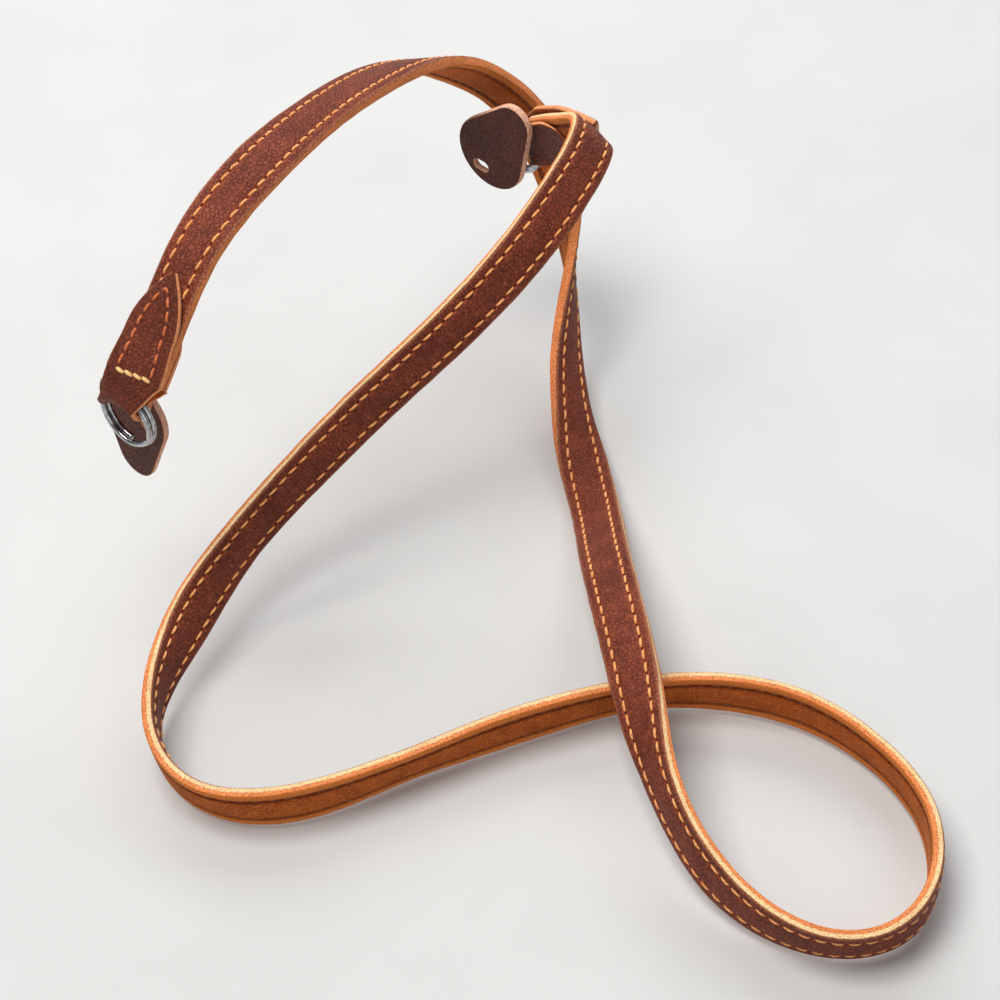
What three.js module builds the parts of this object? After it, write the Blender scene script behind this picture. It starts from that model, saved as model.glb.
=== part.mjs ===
// Leather neck strap with a folded leather end tab, a split ring and a pear-shaped guard patch at each end.
// Millimetres, +Z up, +X from the left ring to the right ring. The origin is where the left ring bears on what it hangs from.
import * as THREE from "three";
import { NURBSCurve } from "three/addons/curves/NURBSCurve.js";

// ---- named sizes -------------------------------------------------------------------------------------------------
const STRAP = {
  width: 12.0,
  thickness: 3.0, // grain layer and suede layer, stitched together
  shoulderWidth: 2.2, // the strip outside each stitch row
  shoulderDrop: 0.4, // how far its outer edge lies below the padded middle
  stepsPerRow: 6,
};
const TAB = {
  thickness: 1.4,
  gap: 0.35,
  width: 14.2,
  foldWidth: 11.0,
  shoulder: 8, // from there on the tab is no wider than this narrower width
  farWidth: 13.0,
  outerLength: 24.4, // from the strap's cut end to the pointed tip
  innerLength: 14, // from the strap's cut end to the rounded end on the suede side
  tipLength: 14,
  skive: 0.4, // what is left of the thickness at the inner leg's end
  neck: 4.5, // from the ring's wire to the strap's cut end
  columns: 7,
};
const RING = {
  radius: 7.1, // to the middle of the wire
  wire: 1.3,
  pitch: 1.36, // the two coils lie side by side
  turnSteps: 40,
};
const PATCH = {
  thickness: 1.8,
  crownRadius: 10,
  tipRadius: 5.2,
  length: 29.5, // top of the crown to the foot of the tip
  slot: { length: 5.0, width: 3.2 },
};

// ---- the strap's run ---------------------------------------------------------------------------------------------
// One row for each bend of the strap, in order from the left ring to the right one. x y z is where it runs and
// gx gy gz the way its grain side faces there.
const ROUTE = [
  { x: -6.3, y: -1.6, z: 7.5, gx: -0.90, gy: -0.33, gz: 0.27 },
  { x: 2.1, y: -0.2, z: 15.4, gx: -0.65, gy: -0.14, gz: 0.74 },
  { x: 10.1, y: 1.1, z: 23.0, gx: -0.86, gy: -0.07, gz: 0.51 },
  { x: 19.5, y: 2.8, z: 32.4, gx: -0.95, gy: -0.08, gz: -0.30 },
  { x: 29.7, y: 4.3, z: 39.8, gx: -0.65, gy: -0.10, gz: 0.75 },
  { x: 48.0, y: 6.7, z: 43.6, gx: 0.72, gy: -0.15, gz: 0.68 },
  { x: 69.9, y: 11.4, z: 40.5, gx: 0.02, gy: 0.04, gz: 1.00 },
  { x: 90.2, y: 15.5, z: 35.5, gx: 0.20, gy: 0.12, gz: 0.97 },
  { x: 113.4, y: 19.7, z: 26.6, gx: 0.87, gy: 0.38, gz: 0.31 },
  { x: 131.7, y: 20.9, z: 13.9, gx: 0.88, gy: 0.36, gz: -0.32 },
  { x: 149.5, y: 16.8, z: -4.0, gx: 0.97, gy: 0.19, gz: -0.17 },
  { x: 152.6, y: 4.3, z: -23.1, gx: 0.53, gy: -0.18, gz: -0.83 },
  { x: 139.2, y: -11.4, z: -35.9, gx: 0.49, gy: -0.87, gz: -0.07 },
  { x: 122.7, y: -22.4, z: -49.2, gx: -0.19, gy: -0.97, gz: 0.13 },
  { x: 108.4, y: -38.8, z: -59.2, gx: -0.48, gy: -0.87, gz: 0.05 },
  { x: 95.7, y: -55.8, z: -60.6, gx: -0.55, gy: -0.13, gz: 0.82 },
  { x: 78.3, y: -70.8, z: -48.1, gx: -0.59, gy: -0.29, gz: 0.76 },
  { x: 64.1, y: -85.4, z: -41.1, gx: -0.35, gy: 0.15, gz: 0.93 },
  { x: 48.8, y: -103.6, z: -40.4, gx: -0.73, gy: -0.52, gz: 0.44 },
  { x: 30.3, y: -125.3, z: -46.0, gx: -0.95, gy: -0.29, gz: -0.14 },
  { x: 20.1, y: -151.3, z: -54.0, gx: -0.49, gy: -0.86, gz: -0.13 },
  { x: 25.7, y: -178.4, z: -55.6, gx: 0.27, gy: -0.96, gz: -0.09 },
  { x: 45.9, y: -188.7, z: -54.9, gx: 0.94, gy: -0.35, gz: -0.02 },
  { x: 69.6, y: -175.0, z: -55.0, gx: 0.38, gy: -0.93, gz: 0.02 },
  { x: 77.3, y: -152.1, z: -55.1, gx: 0.99, gy: -0.01, gz: 0.11 },
  { x: 76.3, y: -128.7, z: -55.1, gx: 0.39, gy: 0.92, gz: -0.01 },
  { x: 61.6, y: -106.4, z: -55.1, gx: 0.99, gy: 0.03, gz: 0.12 },
  { x: 44.9, y: -94.9, z: -55.1, gx: -0.34, gy: 0.94, gz: 0.09 },
  { x: 23.0, y: -83.8, z: -55.0, gx: -0.41, gy: 0.91, gz: -0.01 },
  { x: 3.1, y: -75.1, z: -55.2, gx: -0.61, gy: 0.77, gz: 0.18 },
  { x: -22.1, y: -65.8, z: -54.8, gx: 0.42, gy: 0.90, gz: -0.05 },
  { x: -36.0, y: -46.2, z: -55.8, gx: 0.90, gy: -0.36, gz: 0.25 },
  { x: -28.0, y: -24.0, z: -52.5, gx: -0.36, gy: -0.91, gz: -0.18 },
  { x: -5.4, y: -15.5, z: -48.6, gx: -0.87, gy: -0.50, gz: 0.07 },
  { x: 16.1, y: -10.7, z: -42.0, gx: -0.88, gy: -0.39, gz: -0.26 },
  { x: 36.7, y: -13.4, z: -31.6, gx: -0.87, gy: -0.44, gz: -0.23 },
  { x: 55.0, y: -17.9, z: -20.0, gx: 0.22, gy: -0.79, gz: 0.58 },
  { x: 71.5, y: -25.1, z: -6.8, gx: -0.86, gy: -0.48, gz: -0.15 },
  { x: 85.5, y: -29.9, z: 4.1, gx: -0.55, gy: -0.78, gz: 0.31 },
  { x: 97.6, y: -31.5, z: 11.6, gx: -0.53, gy: -0.72, gz: 0.45 },
  { x: 107.7, y: -30.7, z: 16.0, gx: -0.39, gy: -0.73, gz: 0.56 },
  { x: 114.8, y: -29.4, z: 18.2, gx: 0.18, gy: -0.66, gz: 0.73 },
  { x: 120.6, y: -27.8, z: 19.4, gx: -0.25, gy: -0.75, gz: 0.62 },
  { x: 127.5, y: -24.7, z: 19.8, gx: 0.14, gy: -0.61, gz: 0.78 },
  { x: 131.0, y: -20.4, z: 17.0, gx: 0.70, gy: -0.34, gz: 0.63 },
  { x: 132.2, y: -15.8, z: 12.9, gx: 0.85, gy: -0.18, gz: 0.50 },
  { x: 133.7, y: -11.5, z: 9.3, gx: 0.92, gy: 0.37, gz: -0.09 },
  { x: 135.2, y: -7.3, z: 5.7, gx: 0.97, gy: 0.04, gz: 0.22 },
  { x: 136.4, y: -3.0, z: 1.9, gx: 0.95, gy: -0.05, gz: 0.31 },
  { x: 138.0, y: 3.0, z: -3.4, gx: 0.96, gy: -0.01, gz: 0.28 },
];
// The rings: middle, the way up to the tab's fold, the side towards which the patch lies. The patches: middle of the
// crown and of the slot in y z, how far the tip is turned from hanging down, distance from the ring's middle plane.
const ENDS = {
  left: { centre: [0.00, 1.11, 6.35], up: [0.00, 0.17, 0.98], inward: 1, crown: [5.10, 1.75], slot: [-5.10, -1.75], turn: 0, standOff: 4.2 },
  right: { centre: [137.38, 5.95, -5.93], up: [0.00, -0.75, 0.66], inward: -1, crown: [7.94, -4.81], slot: [2.87, -5.36], turn: 208, standOff: 6.8 },
};

const V = (x, y, z) => new THREE.Vector3(x, y, z);
const KNOTS = (rows) => {
  const k = [];
  for (let i = 0; i < rows + 4; i++) k.push(i - 3);
  return k;
};
const spanStart = 0,
  spanEnd = ROUTE.length - 3;
const runCurve = new NURBSCurve(
  3,
  KNOTS(ROUTE.length),
  ROUTE.map((r) => new THREE.Vector4(r.x, r.y, r.z, 1)),
  3,
  ROUTE.length,
);
const grainCurve = new NURBSCurve(
  3,
  KNOTS(ROUTE.length),
  ROUTE.map((r) => new THREE.Vector4(r.gx, r.gy, r.gz, 1)),
  3,
  ROUTE.length,
);
// Frame of the strap at row number u: p the middle, t along, n to the grain side, w across.
function frameAt(u) {
  const f = (u - spanStart) / (spanEnd - spanStart);
  const e = 1e-4;
  const p = runCurve.getPoint(f);
  const t = runCurve
    .getPoint(Math.min(1, f + e))
    .sub(runCurve.getPoint(Math.max(0, f - e)))
    .normalize();
  const g = grainCurve.getPoint(f);
  const n = g.addScaledVector(t, -g.dot(t)).normalize();
  return { p, t, n, w: t.clone().cross(n).normalize() };
}
const runSteps = (ROUTE.length - 3) * STRAP.stepsPerRow;
const runFrames = [];
for (let i = 0; i <= runSteps; i++)
  runFrames.push(frameAt(spanStart + ((spanEnd - spanStart) * i) / runSteps));
const runLength = [0];
for (let i = 1; i < runFrames.length; i++)
  runLength.push(
    runLength[i - 1] + runFrames[i].p.distanceTo(runFrames[i - 1].p),
  );

// Frame at a distance along the run, in mm from its first row.
function frameAlong(s) {
  let i = 1;
  while (i < runLength.length - 1 && runLength[i] < s) i++;
  const k = (s - runLength[i - 1]) / (runLength[i] - runLength[i - 1]);
  return frameAt(
    spanStart + ((spanEnd - spanStart) * (i - 1 + k)) / runSteps,
  );
}
const totalRun = runLength[runLength.length - 1];

// ---- closed bodies from a row of sections ------------------------------------------------------------------------
// sections: closed loops of the same number of points; the ends are closed by flat caps.
function loft(sections) {
  const n = sections[0].length,
    position = [],
    index = [];
  for (const s of sections) for (const q of s) position.push(q.x, q.y, q.z);
  for (let i = 0; i + 1 < sections.length; i++)
    for (let j = 0; j < n; j++) {
      const a = i * n + j,
        b = i * n + ((j + 1) % n),
        c = a + n,
        d = b + n;
      index.push(a, b, d, a, d, c);
    }
  // caps as strips between the two long sides of the loop
  const cap = (base, flip) => {
    for (let j = 0; j < n / 2 - 1; j++) {
      const a = base + j,
        b = base + j + 1,
        c = base + n - 2 - j,
        d = base + n - 1 - j;
      if (flip) index.push(a, c, b, a, d, c);
      else index.push(a, b, c, a, c, d);
    }
  };
  cap(0, true);
  cap((sections.length - 1) * n, false);
  const g = new THREE.BufferGeometry();
  g.setAttribute("position", new THREE.Float32BufferAttribute(position, 3));
  g.setIndex(index);
  // turned round as a whole if the loops ran the other way
  const p = g.getAttribute("position");
  let volume = 0;
  const a = V(),
    b = V(),
    c = V();
  for (let i = 0; i < index.length; i += 3) {
    a.fromBufferAttribute(p, index[i]);
    b.fromBufferAttribute(p, index[i + 1]);
    c.fromBufferAttribute(p, index[i + 2]);
    volume += a.dot(b.cross(c));
  }
  if (volume < 0) {
    for (let i = 0; i < index.length; i += 3)
      [index[i + 1], index[i + 2]] = [index[i + 2], index[i + 1]];
    g.setIndex(index);
  }
  g.computeVertexNormals();
  return g;
}

// ---- the two ends ------------------------------------------------------------------------------------------------
// Each end has a ring in the plane across X, and the tab's fold lies round the top of the ring.
function makeEnd(spec, fromStart) {
  const centre = V(...spec.centre),
    up = V(...spec.up).normalize();
  const wire = centre.clone().addScaledVector(up, RING.radius);
  // the strap starts where the run is one neck length from the wire
  let s = 0;
  const at = (d) => frameAlong(fromStart ? d : totalRun - d);
  while (at(s).p.distanceTo(wire) < TAB.neck && s < 30) s += 0.05;
  const sign = fromStart ? 1 : -1;
  const frame = (d) => {
    const f = at(s + d);
    const t = f.t.clone().multiplyScalar(sign);
    return { p: f.p, t, n: f.n, w: t.clone().cross(f.n).normalize() };
  };
  // at the ring the leather has turned flat to the ring
  const n = V(-spec.inward, 0, 0),
    wireFrame = { p: wire, t: up, n, w: up.clone().cross(n).normalize() };
  return { centre, up, wire, start: s, frame, wireFrame, spec };
}
const leftEnd = makeEnd(ENDS.left, true);
const rightEnd = makeEnd(ENDS.right, false);

// ---- strap -------------------------------------------------------------------------------------------------------
function strapSection(f) {
  const h = STRAP.width / 2,
    k = h - STRAP.shoulderWidth,
    top = STRAP.thickness / 2,
    low = top - STRAP.shoulderDrop;
  const at = (across, out) =>
    f.p.clone().addScaledVector(f.w, across).addScaledVector(f.n, out);
  return [
    at(-h, low),
    at(-k, top),
    at(k, top),
    at(h, low),
    at(h, -top),
    at(k, -top),
    at(-k, -top),
    at(-h, -top),
  ];
}
const strapSections = [];
{
  const a = leftEnd.start,
    b = totalRun - rightEnd.start;
  strapSections.push(strapSection(frameAlong(a)));
  for (let i = 0; i < runFrames.length; i++)
    if (runLength[i] > a + 0.8 && runLength[i] < b - 0.8)
      strapSections.push(strapSection(runFrames[i]));
  strapSections.push(strapSection(frameAlong(b)));
}

// ---- end tab -----------------------------------------------------------------------------------------------------
const smooth = (k) => {
  const c = Math.min(1, Math.max(0, k));
  return c * c * (3 - 2 * c);
};
function tabHalfWidth(d) {
  // d: distance from the strap's cut end towards the tip, below 0 in the neck
  const body = TAB.width / 2,
    fold = TAB.foldWidth / 2;
  const flare = body + (TAB.farWidth / 2 - body) * smooth((d - 2) / TAB.shoulder);
  const h = fold + (flare - fold) * smooth((d + TAB.neck) / 6);
  const k = (d - (TAB.outerLength - TAB.tipLength)) / TAB.tipLength;
  return k <= 0 ? h : h * (1 - 0.93 * k * k);
}
// the inner leg is no wider than the strap and its end is rounded
function innerHalfWidth(d) {
  const k = Math.max(0, (d - (TAB.innerLength - 6)) / 6);
  return Math.min(tabHalfWidth(d), STRAP.width / 2 - 0.1) * (1 - 0.45 * k * k);
}
function makeTab(end) {
  const rho = STRAP.thickness / 2 + TAB.gap + TAB.thickness / 2;
  const first = end.frame(0);
  const sections = [];
  // one cross-section: a strip of columns, its outer face then its inner face
  const section = (f, middle, outward, half, pull, down, thick = TAB.thickness) => {
    const outer = [],
      inner = [];
    for (let c = 0; c < TAB.columns; c++) {
      const v = half * ((2 * c) / (TAB.columns - 1) - 1);
      // the leather follows the curve of the ring
      const drop =
        pull * (RING.radius - Math.sqrt(RING.radius ** 2 - Math.min(v * v, 36)));
      const q = middle
        .clone()
        .addScaledVector(f.w, v)
        .addScaledVector(down, drop);
      outer.push(q.clone().addScaledVector(outward, thick - TAB.thickness / 2));
      inner.unshift(q.clone().addScaledVector(outward, -TAB.thickness / 2));
    }
    return [...outer, ...inner];
  };
  const mix = (k) => {
    // frame between the wire (k = 0) and the strap's cut end (k = 1)
    const t = end.wireFrame.t.clone().lerp(first.t, k).normalize();
    const n0 = end.wireFrame.n.clone().lerp(first.n, k);
    const n = n0.addScaledVector(t, -n0.dot(t)).normalize();
    return {
      p: end.wire.clone().lerp(first.p, k),
      t,
      n,
      w: t.clone().cross(n).normalize(),
    };
  };
  const down = end.wireFrame.t.clone().negate();
  const pullAt = (d) => 1 - smooth((d + TAB.neck) / TAB.neck);
  // outer leg, from the tip to the neck
  const outerRows = 22;
  for (let i = 0; i <= outerRows; i++) {
    const d = TAB.outerLength * (1 - i / outerRows);
    const f = end.frame(d);
    sections.push(
      section(f, f.p.clone().addScaledVector(f.n, rho), f.n, tabHalfWidth(d), pullAt(d), down),
    );
  }
  const neckRows = 4;
  for (let i = 1; i < neckRows; i++) {
    const k = 1 - i / neckRows,
      d = -TAB.neck * (1 - k),
      f = mix(k);
    sections.push(
      section(f, f.p.clone().addScaledVector(f.n, rho), f.n, tabHalfWidth(d), pullAt(d), down),
    );
  }
  // the fold round the wire
  const foldSteps = 12,
    wf = end.wireFrame;
  for (let i = 0; i <= foldSteps; i++) {
    const a = (Math.PI * i) / foldSteps;
    const outward = wf.n
      .clone()
      .multiplyScalar(Math.cos(a))
      .addScaledVector(wf.t, -Math.sin(a));
    sections.push(
      section(wf, wf.p.clone().addScaledVector(outward, rho), outward, TAB.foldWidth / 2, 1, down),
    );
  }
  for (let i = neckRows - 1; i > 0; i--) {
    const k = 1 - i / neckRows,
      d = -TAB.neck * (1 - k),
      f = mix(k);
    sections.push(
      section(f, f.p.clone().addScaledVector(f.n, -rho), f.n.clone().negate(), tabHalfWidth(d), pullAt(d), down),
    );
  }
  const innerRows = 9;
  for (let i = 0; i <= innerRows; i++) {
    const d = (TAB.innerLength * i) / innerRows;
    const f = end.frame(d);
    sections.push(
      section(f, f.p.clone().addScaledVector(f.n, -rho), f.n.clone().negate(), innerHalfWidth(d), pullAt(d), down,
        TAB.thickness * (1 - (1 - TAB.skive) * smooth((d - 3) / (TAB.innerLength - 3)))),
    );
  }
  return loft(sections);
}

// ---- split ring: one wire wound twice ----------------------------------------------------------------------------
function makeRing(end) {
  const first = (35 * Math.PI) / 180,
    last = (685 * Math.PI) / 180,
    cross = [(325 * Math.PI) / 180, (395 * Math.PI) / 180];
  const side = V(1, 0, 0),
    up = end.up,
    across = up.clone().cross(side).normalize();
  const steps = Math.round((RING.turnSteps * (last - first)) / (2 * Math.PI));
  const sections = [];
  for (let i = 0; i <= steps; i++) {
    const a = first + ((last - first) * i) / steps;
    const shift =
      (RING.pitch / 2) * (2 * smooth((a - cross[0]) / (cross[1] - cross[0])) - 1);
    // the crossing of the two coils lies low on the ring, clear of the fold
    const b = a + (1.15 * Math.PI);
    const radial = up
      .clone()
      .multiplyScalar(Math.cos(b))
      .addScaledVector(across, Math.sin(b));
    const q = end.centre
      .clone()
      .addScaledVector(radial, RING.radius)
      .addScaledVector(side, shift);
    const loop = [];
    for (let j = 0; j < 8; j++) {
      const c = ((j + 0.5) * Math.PI) / 4;
      loop.push(
        q
          .clone()
          .addScaledVector(radial, (RING.wire / 2) * Math.cos(c))
          .addScaledVector(side, (RING.wire / 2) * Math.sin(c)),
      );
    }
    sections.push(loop);
  }
  return loft(sections);
}

// ---- guard patch -------------------------------------------------------------------------------------------------
function makePatch(end) {
  const crown = PATCH.crownRadius,
    tip = PATCH.tipRadius,
    reach = PATCH.length - crown - tip; // between the two middles
  // outline in its own plane: crown middle at 0,0 and the tip below, turned about the crown's middle
  const lean = Math.asin((crown - tip) / reach);
  const shape = new THREE.Shape();
  const turn = (end.spec.turn * Math.PI) / 180;
  shape.absarc(0, 0, crown, turn - lean, turn + Math.PI + lean, false);
  shape.absarc(reach * Math.sin(turn), -reach * Math.cos(turn), tip, turn + Math.PI + lean, turn + 2 * Math.PI - lean, false);
  shape.closePath();
  const hole = new THREE.Path();
  const { length, width } = PATCH.slot;
  const sx = end.spec.slot[0],
    sy = end.spec.slot[1],
    r = width / 2,
    l = (length - width) / 2;
  hole.absarc(sx + l, sy, r, Math.PI / 2, -Math.PI / 2, true);
  hole.absarc(sx - l, sy, r, -Math.PI / 2, -1.5 * Math.PI, true);
  hole.closePath();
  shape.holes.push(hole);
  const g = new THREE.ExtrudeGeometry(shape, {
    depth: PATCH.thickness,
    bevelEnabled: false,
    curveSegments: 28,
  });
  // into the plane across X
  g.applyMatrix4(new THREE.Matrix4().makeBasis(V(0, 1, 0), V(0, 0, 1), V(1, 0, 0)));
  const off = end.spec.standOff;
  const x =
    end.spec.inward > 0
      ? end.centre.x + off
      : end.centre.x - off - PATCH.thickness;
  g.translate(x, end.spec.crown[0], end.spec.crown[1]);
  return g;
}

// ---- the assembly ------------------------------------------------------------------------------------------------
const leather = (color) =>
  new THREE.MeshStandardMaterial({ color, roughness: 0.62, metalness: 0 });
const steel = () =>
  new THREE.MeshStandardMaterial({ color: 0xd8d8da, roughness: 0.12, metalness: 1 });

const root = new THREE.Group();
root.name = "camera_neck_strap";
const add = (name, geometry, material) => {
  const m = new THREE.Mesh(geometry, material);
  m.name = name;
  root.add(m);
};
add("strap", loft(strapSections), leather(0x6e2f22));
add("end_tab_left", makeTab(leftEnd), leather(0x6b2c20));
add("end_tab_right", makeTab(rightEnd), leather(0x6b2c20));
add("split_ring_left", makeRing(leftEnd), steel());
add("split_ring_right", makeRing(rightEnd), steel());
add("guard_patch_left", makePatch(leftEnd), leather(0x63281d));
add("guard_patch_right", makePatch(rightEnd), leather(0x63281d));

export default root;
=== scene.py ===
import math

import bpy
import numpy as np
from mathutils import Matrix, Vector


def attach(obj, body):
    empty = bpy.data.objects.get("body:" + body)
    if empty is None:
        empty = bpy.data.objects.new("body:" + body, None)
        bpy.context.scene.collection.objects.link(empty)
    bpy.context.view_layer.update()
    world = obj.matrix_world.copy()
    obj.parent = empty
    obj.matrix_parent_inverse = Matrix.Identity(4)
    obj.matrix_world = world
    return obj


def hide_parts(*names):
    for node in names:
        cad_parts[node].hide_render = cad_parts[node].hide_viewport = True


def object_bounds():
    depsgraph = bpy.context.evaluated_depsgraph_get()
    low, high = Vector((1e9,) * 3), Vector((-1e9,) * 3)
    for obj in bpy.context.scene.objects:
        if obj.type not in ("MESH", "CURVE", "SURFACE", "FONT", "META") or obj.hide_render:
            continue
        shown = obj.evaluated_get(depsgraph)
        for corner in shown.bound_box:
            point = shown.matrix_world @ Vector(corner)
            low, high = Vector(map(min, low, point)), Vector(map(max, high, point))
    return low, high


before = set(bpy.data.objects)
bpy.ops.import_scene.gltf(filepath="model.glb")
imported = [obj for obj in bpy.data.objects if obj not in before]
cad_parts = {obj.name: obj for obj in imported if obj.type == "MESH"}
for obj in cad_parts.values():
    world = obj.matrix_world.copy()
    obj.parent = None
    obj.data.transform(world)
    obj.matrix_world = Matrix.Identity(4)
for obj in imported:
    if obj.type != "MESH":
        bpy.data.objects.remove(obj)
CAD_BOX = [[float(c) for c in corner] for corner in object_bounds()]
MM = 0.001

# ---- sizes, the same as the frame's, in mm ---------------------------------------------------------------------------
WIDTH, THICK = 12.0, 3.0
STITCH_ROW = 3.55  # from the middle of the strap to each stitch row
STITCH_PITCH = 3.4
TAB_T, TAB_GAP, TAB_W, TAB_FOLD_W, TAB_SHOULDER, TAB_FAR_W = 1.4, 0.35, 14.2, 11.0, 8.0, 13.0
TAB_OUTER, TAB_INNER, TAB_TIP, NECK, SKIVE = 24.4, 14.0, 14.0, 4.5, 0.4
RING_R, RING_WIRE, RING_PITCH = 7.1, 1.3, 1.36
PATCH_T, PATCH_CROWN, PATCH_TIP, PATCH_LENGTH = 1.8, 10.0, 5.2, 29.5
SLOT_LENGTH, SLOT_WIDTH = 5.0, 3.2

# x y z of the run and gx gy gz, the way the grain side faces there
ROUTE = np.array([
    (-6.3, -1.6, 7.5, -0.90, -0.33, 0.27),
    (2.1, -0.2, 15.4, -0.65, -0.14, 0.74),
    (10.1, 1.1, 23.0, -0.86, -0.07, 0.51),
    (19.5, 2.8, 32.4, -0.95, -0.08, -0.30),
    (29.7, 4.3, 39.8, -0.65, -0.10, 0.75),
    (48.0, 6.7, 43.6, 0.72, -0.15, 0.68),
    (69.9, 11.4, 40.5, 0.02, 0.04, 1.00),
    (90.2, 15.5, 35.5, 0.20, 0.12, 0.97),
    (113.4, 19.7, 26.6, 0.87, 0.38, 0.31),
    (131.7, 20.9, 13.9, 0.88, 0.36, -0.32),
    (149.5, 16.8, -4.0, 0.97, 0.19, -0.17),
    (152.6, 4.3, -23.1, 0.53, -0.18, -0.83),
    (139.2, -11.4, -35.9, 0.49, -0.87, -0.07),
    (122.7, -22.4, -49.2, -0.19, -0.97, 0.13),
    (108.4, -38.8, -59.2, -0.48, -0.87, 0.05),
    (95.7, -55.8, -60.6, -0.55, -0.13, 0.82),
    (78.3, -70.8, -48.1, -0.59, -0.29, 0.76),
    (64.1, -85.4, -41.1, -0.35, 0.15, 0.93),
    (48.8, -103.6, -40.4, -0.73, -0.52, 0.44),
    (30.3, -125.3, -46.0, -0.95, -0.29, -0.14),
    (20.1, -151.3, -54.0, -0.49, -0.86, -0.13),
    (25.7, -178.4, -55.6, 0.27, -0.96, -0.09),
    (45.9, -188.7, -54.9, 0.94, -0.35, -0.02),
    (69.6, -175.0, -55.0, 0.38, -0.93, 0.02),
    (77.3, -152.1, -55.1, 0.99, -0.01, 0.11),
    (76.3, -128.7, -55.1, 0.39, 0.92, -0.01),
    (61.6, -106.4, -55.1, 0.99, 0.03, 0.12),
    (44.9, -94.9, -55.1, -0.34, 0.94, 0.09),
    (23.0, -83.8, -55.0, -0.41, 0.91, -0.01),
    (3.1, -75.1, -55.2, -0.61, 0.77, 0.18),
    (-22.1, -65.8, -54.8, 0.42, 0.90, -0.05),
    (-36.0, -46.2, -55.8, 0.90, -0.36, 0.25),
    (-28.0, -24.0, -52.5, -0.36, -0.91, -0.18),
    (-5.4, -15.5, -48.6, -0.87, -0.50, 0.07),
    (16.1, -10.7, -42.0, -0.88, -0.39, -0.26),
    (36.7, -13.4, -31.6, -0.87, -0.44, -0.23),
    (55.0, -17.9, -20.0, 0.22, -0.79, 0.58),
    (71.5, -25.1, -6.8, -0.86, -0.48, -0.15),
    (85.5, -29.9, 4.1, -0.55, -0.78, 0.31),
    (97.6, -31.5, 11.6, -0.53, -0.72, 0.45),
    (107.7, -30.7, 16.0, -0.39, -0.73, 0.56),
    (114.8, -29.4, 18.2, 0.18, -0.66, 0.73),
    (120.6, -27.8, 19.4, -0.25, -0.75, 0.62),
    (127.5, -24.7, 19.8, 0.14, -0.61, 0.78),
    (131.0, -20.4, 17.0, 0.70, -0.34, 0.63),
    (132.2, -15.8, 12.9, 0.85, -0.18, 0.50),
    (133.7, -11.5, 9.3, 0.92, 0.37, -0.09),
    (135.2, -7.3, 5.7, 0.97, 0.04, 0.22),
    (136.4, -3.0, 1.9, 0.95, -0.05, 0.31),
    (138.0, 3.0, -3.4, 0.96, -0.01, 0.28),
])
ENDS = {
    "left": {"centre": [0.00, 1.11, 6.35], "up": [0.00, 0.17, 0.98], "inward": 1, "crown": [5.10, 1.75], "slot": [-5.10, -1.75], "turn": 0, "off": 4.2},
    "right": {"centre": [137.38, 5.95, -5.93], "up": [0.00, -0.75, 0.66], "inward": -1, "crown": [7.94, -4.81], "slot": [2.87, -5.36], "turn": 208, "off": 6.8},
}


# ---- the run as a cubic B-spline -------------------------------------------------------------------------------------
def basis(u):
    u = np.clip(u, 0, len(ROUTE) - 3 - 1e-9)
    i = np.floor(u).astype(int)
    f = (u - i)[:, None]
    w = [(1 - f) ** 3 / 6, (3 * f ** 3 - 6 * f ** 2 + 4) / 6, (-3 * f ** 3 + 3 * f ** 2 + 3 * f + 1) / 6, f ** 3 / 6]
    d = [-(1 - f) ** 2 / 2, (3 * f ** 2 - 4 * f) / 2, (-3 * f ** 2 + 2 * f + 1) / 2, f ** 2 / 2]
    val = sum(w[k] * ROUTE[i + k] for k in range(4))
    der = sum(d[k] * ROUTE[i + k, :3] for k in range(4))
    return val[:, :3], val[:, 3:], der


def unit(a):
    return a / np.linalg.norm(a, axis=-1, keepdims=True)


_u = np.linspace(0, len(ROUTE) - 3, 6000)
_p = basis(_u)[0]
_s = np.concatenate([[0], np.cumsum(np.linalg.norm(np.diff(_p, axis=0), axis=1))])
TOTAL = _s[-1]


def frames(s):
    """Middle, tangent, grain normal and across at distances s (mm) along the run."""
    s = np.atleast_1d(np.asarray(s, float))
    p, g, d = basis(np.interp(s, _s, _u))
    t = unit(d)
    n = unit(g - (g * t).sum(1, keepdims=True) * t)
    return p, t, n, np.cross(t, n)


def wobble(x, seed):
    """Smooth repeatable noise of about unit size."""
    rng = np.random.default_rng(seed)
    out = np.zeros_like(np.asarray(x, float))
    for k in range(7):
        out += np.sin(x * rng.uniform(0.02, 0.9) + rng.uniform(0, 6.28)) * rng.uniform(0.2, 1)
    return out / 2.2


# ---- mesh helpers ----------------------------------------------------------------------------------------------------
def make_mesh(name, verts, faces, mats, face_mat=None, uv=None, smooth=True):
    me = bpy.data.meshes.new(name)
    me.from_pydata([tuple(v) for v in (np.asarray(verts) * MM)], [], [tuple(int(i) for i in f) for f in faces])
    for m in mats:
        me.materials.append(m)
    if face_mat is not None:
        me.polygons.foreach_set("material_index", np.asarray(face_mat, dtype=np.int32))
    if uv is not None:
        layer = me.uv_layers.new(name="run")
        layer.data.foreach_set("uv", np.asarray(uv, dtype=np.float32).ravel())
    me.polygons.foreach_set("use_smooth", np.full(len(faces), smooth))
    me.update()
    ob = bpy.data.objects.new(name, me)
    bpy.context.scene.collection.objects.link(ob)
    return ob


def outward(ob):
    """Turns the whole surface round if it faces in."""
    import bmesh
    bm = bmesh.new()
    bm.from_mesh(ob.data)
    if bm.calc_volume(signed=True) < 0:
        bmesh.ops.reverse_faces(bm, faces=bm.faces)
    bm.to_mesh(ob.data)
    bm.free()
    ob.data.update()


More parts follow.
